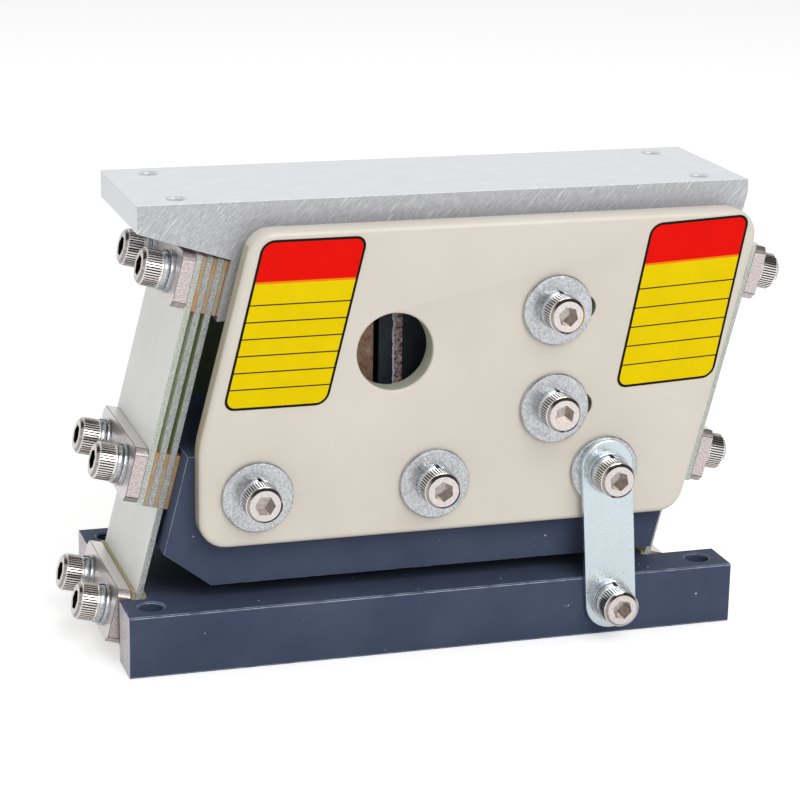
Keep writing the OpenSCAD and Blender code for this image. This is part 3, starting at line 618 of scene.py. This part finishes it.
# Painted shade: every broken edge of a bar is drawn as a thin dark line.
bar_edge_shade = dull_nickel("nickel_edge_painted_shade", "#4c4242", "#6e6464", 0.4)
for side in ("left", "right"):
    for level in ("top", "mid", "base"):
        bar = copy_with_edges(f"{side}_{level}_clamp", 0.1, bar_face, bar_edge_shade, steps=1)
        refinish(bar, bar_end, lambda normal, spot: abs(normal.y) > 0.7)


# ---- Washers and transport bracket ----
# Stamped steel with bright zinc plating: plain washers, split spring washers, wide body
# washers, and the flat bar that ties the counterweight to the base for transport.

def bright_zinc(name, dark, light):
    """Bright zinc: bluish and a little cloudy, with small pits and the soft waviness of sheet."""
    material, tree, shader, place = new_finish(name, Metallic=1.0)
    cloud = grain(tree, place, 5, 0.3, 0.7, 6.0)
    blend = add(tree, "ShaderNodeMix", {0: 0.65, 2: cloud, 3: grain(tree, place, 0.45, 0.35, 0.65)})
    tone = add(tree, "ShaderNodeMix", {0: blend, 6: dark, 7: light}, data_type="RGBA")
    pits = add(tree, "ShaderNodeMath", {0: specks(tree, place, 2.2, 0.2), 1: 0.6},
               operation="MULTIPLY")
    add(tree, "ShaderNodeMix", {0: pits, 6: tone.outputs[2], 7: "#4c565c"},
        {2: shader.inputs["Base Color"]}, data_type="RGBA")
    add(tree, "ShaderNodeMapRange", {"Value": cloud, "To Min": 0.2, "To Max": 0.34},
        {0: shader.inputs["Roughness"]})
    add(tree, "ShaderNodeBump", {"Height": cloud, "Distance": 0.03 * mm, "Strength": 0.4},
        {0: shader.inputs["Normal"]})
    return material


zinc = bright_zinc("bright_zinc", "#9a9da1", "#dcdee1")
for kind, edge in (("flat", 0.15), ("lock", 0.2)):
    for group in ("tray", "clamp", "front", "back"):
        copy_with_edges(f"{group}_{kind}_washers", edge, zinc, sharp=40)
for group in ("front", "back"):
    copy_with_edges(f"{group}_body_washers", 0.45, zinc, steps=3, sharp=40)
passivated = bright_zinc("passivated_zinc", "#c6d3d9", "#d9e4e9")
copy_with_edges("transport_bracket", 0.25, passivated, sharp=40)


# ---- Socket head cap screws ----
# Cold-headed steel screws, nickel plated, with a knurled head, a hexagon socket and a
# rolled thread. Each is seated where its plain solid is, turned at random.

def bright_nickel(name, dark, light, rough):
    """Nickel on a cold-headed screw: warm white, with fine handling marks."""
    material, tree, shader, place = new_finish(name, Metallic=1.0, Roughness=rough)
    add(tree, "ShaderNodeMix", {0: grain(tree, place, 0.6, 0.3, 0.7), 6: dark, 7: light},
        {2: shader.inputs["Base Color"]}, data_type="RGBA")
    return material


screw_finishes = [bright_nickel("bright_nickel", "#e8e2dd", "#f6f2ef", 0.22),
                  bright_nickel("turned_nickel", "#d0c8c5", "#e6dedc", 0.26),
                  bright_nickel("polished_nickel_painted_darker", "#9c9490", "#aaa29e", 0.07),
                  bright_nickel("painted_shade_in_the_knurl", "#241e1a", "#3a322c", 0.4),
                  bright_nickel("nickel_in_the_socket_painted_shade", "#988f8a", "#c2bab4", 0.15)]
PLATED, TURNED, POLISHED_DARK, KNURL_SHADE, SOCKET = range(5)
head_share = 0.92  # A head's height as a share of the thread's diameter.


def turn_round(mesh, outline, steps):
    """Spins an outline of radii and heights, which starts and ends on the axis, to a shell."""
    verts = [mesh.verts.new((r, 0, z)) for r, z in outline]
    edges = [mesh.edges.new(pair) for pair in zip(verts, verts[1:])]
    bmesh.ops.spin(mesh, geom=verts + edges, cent=(0, 0, 0), axis=(0, 0, 1), dvec=(0, 0, 0),
                   angle=math.tau, steps=steps, use_merge=True)
    bmesh.ops.remove_doubles(mesh, verts=mesh.verts, dist=weld)


def cap_screw(length, size):
    """A screw with its head's face at the origin and its tip down -Z, in metres. Its knurl has
    fewer, deeper grooves than a real one, so that it shows."""
    d = size * mm
    corner, socket_h, face_r, head_r = 0.4619 * d, 0.5 * d, 0.68 * d, 0.83 * d
    head_h = head_share * d
    ridges, steps_each, groove, close = 44, 4, 0.94, 0.001 * d
    steps = ridges * steps_each
    knurl_top, knurl_foot = -0.18 * d, -0.83 * d
    outline = [(0, -socket_h), (corner, -socket_h), (corner, 0), (face_r, 0),
               (0.79 * d, -0.11 * d), (0.82 * d, -0.13 * d), (head_r, knurl_top),
               (head_r, knurl_foot), (0.805 * d, -0.85 * d), (0.805 * d, -head_h), (0, -head_h)]
    mesh = bmesh.new()
    turn_round(mesh, outline, steps)
    for vert in mesh.verts:
        around = math.atan2(vert.co.y, vert.co.x) % math.tau
        r = vert.co.xy.length
        step = round(around / math.tau * steps) % steps_each
        if abs(r - head_r) < close and step == steps_each - 1:
            vert.co.xy *= groove
        elif abs(r - corner) < close:
            vert.co.xy *= math.cos(math.pi / 6) / math.cos(around % (math.pi / 3) - math.pi / 6)
    for face in mesh.faces:
        spot = face.calc_center_median()
        r = spot.xy.length
        step = int(math.atan2(spot.y, spot.x) % math.tau / math.tau * steps) % steps_each
        if spot.z > -close:
            face.material_index = TURNED
        # Painted shade: the socket's walls are darker than the head.
        elif r < 0.465 * d and spot.z > -0.6 * d:
            face.material_index = SOCKET
        # Painted reflection: the polished chamfer round the face is darker than the head.
        elif spot.z > -0.1 * d:
            face.material_index = POLISHED_DARK
        # Painted shade: the knurl's grooves are dark.
        elif r > 0.78 * d and knurl_foot + 0.01 * d < spot.z < knurl_top and step > 1:
            face.material_index = KNURL_SHADE
    pitch, plain = 0.16 * d, 1.2 * mm
    depth = 0.55 * pitch
    outline = [(0, -0.9 * d), (d / 2, -0.9 * d), (d / 2, -head_h - plain)]
    for i in range(int((length * mm - 2 * plain) / pitch)):
        z = -head_h - plain - pitch * i
        outline += [(d / 2 - depth, z - 0.4 * pitch), (d / 2 - depth, z - 0.5 * pitch),
                    (d / 2, z - 0.9 * pitch), (d / 2, z - pitch)]
    outline += [(d / 2 - 0.6 * pitch, -head_h - length * mm), (0, -head_h - length * mm)]
    turn_round(mesh, outline, 32)
    return mesh


def solids_of(node):
    """The corner points of each separate solid in a node."""
    mesh = bmesh.new()
    mesh.from_mesh(nodes[node].data)
    bmesh.ops.remove_doubles(mesh, verts=mesh.verts, dist=weld)
    left, groups = dict.fromkeys(mesh.verts), []
    while left:
        group, reached = [], [left.popitem()[0]]
        while reached:
            vert = reached.pop()
            group.append(vert)
            for other in (e.other_vert(vert) for e in vert.link_edges):
                if other in left:
                    del left[other]
                    reached.append(other)
        groups.append([v.co.copy() for v in group])
    mesh.free()
    return groups


def seat_screws(node, outward, size=5.0):
    """Puts a screw on the axis of each solid in the node, with its head facing outward."""
    outward = Vector(outward).normalized()
    turn = outward.to_track_quat("Z", "Y").to_matrix()
    whole = bmesh.new()
    for points in solids_of(node):
        local = [turn.transposed() @ p for p in points]
        low = Vector([min(p[i] for p in local) for i in range(3)])
        high = Vector([max(p[i] for p in local) for i in range(3)])
        top = turn @ Vector(((low.x + high.x) / 2, (low.y + high.y) / 2, high.z))
        one = cap_screw((high.z - low.z) / mm - head_share * size, size)
        spin = Matrix.Rotation(dice.uniform(0, math.tau), 4, "Z")
        bmesh.ops.transform(one, matrix=Matrix.Translation(top) @ turn.to_4x4() @ spin,
                            verts=one.verts)
        bmesh.ops.recalc_face_normals(one, faces=one.faces)
        data = bpy.data.meshes.new("one_screw")
        one.to_mesh(data)
        one.free()
        whole.from_mesh(data)
        bpy.data.meshes.remove(data)
    show(node + "_piece", whole, screw_finishes, node)


dice = random.Random(7)
for side in ("left", "right"):
    for level in ("top", "mid", "base"):
        seat_screws(f"{side}_{level}_screws", out_of_pack[side])
for group in ("front_plate_screws", "front_magnet_screws", "bracket_screws"):
    seat_screws(group, (0, -1, 0))
for group in ("back_plate_screws", "back_magnet_screws"):
    seat_screws(group, (0, 1, 0))
seat_screws("armature_screws", (-1, 0, 0))
seat_screws("core_bolts", (0, 0, 1), size=3.0)


# ---- Armature and magnet core ----
# Stacks of punched steel sheets pressed together. The armature is oiled and brown with
# heat, the core is dipped in black varnish, and the sheets' edges show as fine lines.

def sheet_stack(name, dark, light, metal):
    """A stack of sheets half a millimetre thick, with their edges as fine lines."""
    material, tree, shader, place = new_finish(name, Metallic=metal, Roughness=0.5)
    sheet = 0.5 * mm
    height = add(tree, "ShaderNodeSeparateXYZ", {0: place}).outputs["Z"]
    sheets = add(tree, "ShaderNodeMath", {0: height, 1: math.tau / sheet}, operation="MULTIPLY")
    wave = add(tree, "ShaderNodeMath", {0: sheets}, operation="SINE")
    add(tree, "ShaderNodeMix", {0: grain(tree, place, 3, 0.3, 0.7, 5.0), 6: dark, 7: light},
        {2: shader.inputs["Base Color"]}, data_type="RGBA")
    add(tree, "ShaderNodeBump", {"Height": wave, "Distance": 0.03 * mm, "Strength": 0.5},
        {0: shader.inputs["Normal"]})
    return material


def ground_sheets():
    """The oiled armature: rust-brown and grey patches, scored slantwise where it was ground."""
    material, tree, shader, place = new_finish("oiled_ground_sheets", Metallic=0.4, Roughness=0.5)
    scores = cutter_marks(tree, place, -28, 0.12, 3)
    rust = add(tree, "ShaderNodeMix", {0: grain(tree, place, 2.5, 0.35, 0.65), 6: "#9a6656",
                                       7: "#ac9c80"}, data_type="RGBA")
    shade = add(tree, "ShaderNodeMapRange", {"Value": scores, "From Min": 0.55, "From Max": 0.4,
                                             "To Max": 0.7})
    add(tree, "ShaderNodeMix", {0: shade, 6: rust.outputs[2], 7: "#4a3a2c"},
        {2: shader.inputs["Base Color"]}, data_type="RGBA")
    return material


copy_with_edges("armature", 0.15, ground_sheets())
copy_with_edges("magnet_core", 0.15,
                sheet_stack("varnished_steel_sheets", "#141820", "#2e3644", 0.2))


# ---- Coil: bobbin, winding, paper and tape ----
# Enamelled copper wire wound on a moulded bobbin, insulated with varnished paper and
# wrapped in black cotton tape. The paper stands out of the tape with a torn pale edge.

def uneven_finish(name, dark, light, rough):
    """A moulded, wound or woven surface: matt, with a slight unevenness."""
    material, tree, shader, place = new_finish(name, Roughness=rough, IOR=1.48)
    cloud = grain(tree, place, 2, 0.3, 0.7, 4.0)
    add(tree, "ShaderNodeMix", {0: cloud, 6: dark, 7: light},
        {2: shader.inputs["Base Color"]}, data_type="RGBA")
    add(tree, "ShaderNodeBump", {"Height": cloud, "Distance": 0.05 * mm, "Strength": 0.4},
        {0: shader.inputs["Normal"]})
    return material


def torn_paper(left_x, right_x):
    """Varnished paper: brown and pink blotches, fibrous, with a white torn edge on its left, and
    tape showing past the rags on both sides."""
    material, tree, shader, place = new_finish("varnished_paper", Roughness=0.6, IOR=1.48)
    blotch = add(tree, "ShaderNodeMix", {0: grain(tree, place, 0.9, 0.4, 0.6, 5.0), 6: "#3c2423",
                                         7: "#dcc6c2"}, data_type="RGBA")
    across = add(tree, "ShaderNodeSeparateXYZ", {0: place}).outputs["X"]
    rag = add(tree, "ShaderNodeMath", {0: grain(tree, place, 2.2, 0.3, 0.7, 5.0), 1: -0.6 * mm,
                                       2: across}, operation="MULTIPLY_ADD")
    torn = add(tree, "ShaderNodeMapRange", {"Value": rag, "From Min": left_x + 0.3 * mm,
                                            "From Max": left_x + 0.15 * mm})
    edged = add(tree, "ShaderNodeMix", {0: torn, 6: blotch.outputs[2], 7: "#dfe2ee"},
                data_type="RGBA")
    past_left = add(tree, "ShaderNodeMath", {0: rag, 1: left_x - 0.2 * mm}, operation="LESS_THAN")
    past_right = add(tree, "ShaderNodeMath", {0: rag, 1: right_x - 0.5 * mm},
                     operation="GREATER_THAN")
    past = add(tree, "ShaderNodeMath", {0: past_left, 1: past_right}, operation="MAXIMUM")
    add(tree, "ShaderNodeMix", {0: past, 6: edged.outputs[2], 7: "#14171f"},
        {2: shader.inputs["Base Color"]}, data_type="RGBA")
    return material


nylon = uneven_finish("moulded_nylon", "#8d6f47", "#a88a60", 0.5)
wire = uneven_finish("enamelled_copper_wire", "#7c3a1c", "#b8683c", 0.35)
tape = uneven_finish("black_cotton_tape", "#12151c", "#262b38", 0.7)
paper_left, paper_right = (corner.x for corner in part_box("magnet_sleeve"))
copy_with_edges("coil_bobbin", 0.1, nylon)
copy_with_edges("magnet_coil", 0.3, wire)
copy_with_edges("magnet_wrap", 0.15, tape)
copy_with_edges("magnet_sleeve", 0.05, torn_paper(paper_left, paper_right))


# ---- Magnet holder ----
# A milled steel block, oiled and left bare, that clamps the core between its lips. The
# lines on it are its cutter's passes, half a millimetre apart.

milled_steel = sheet_stack("oiled_milled_steel", "#85878b", "#a4a6aa", 1.0)
copy_with_edges("magnet_holder", 0.3, milled_steel)


# ---- Cable grommet ----
# A moulded rubber ring in the back side plate, where the magnet's cable would pass.

rubber = uneven_finish("moulded_rubber", "#1d1d20", "#2b2b2f", 0.75)
copy_with_edges("cable_grommet", 0.2, rubber)
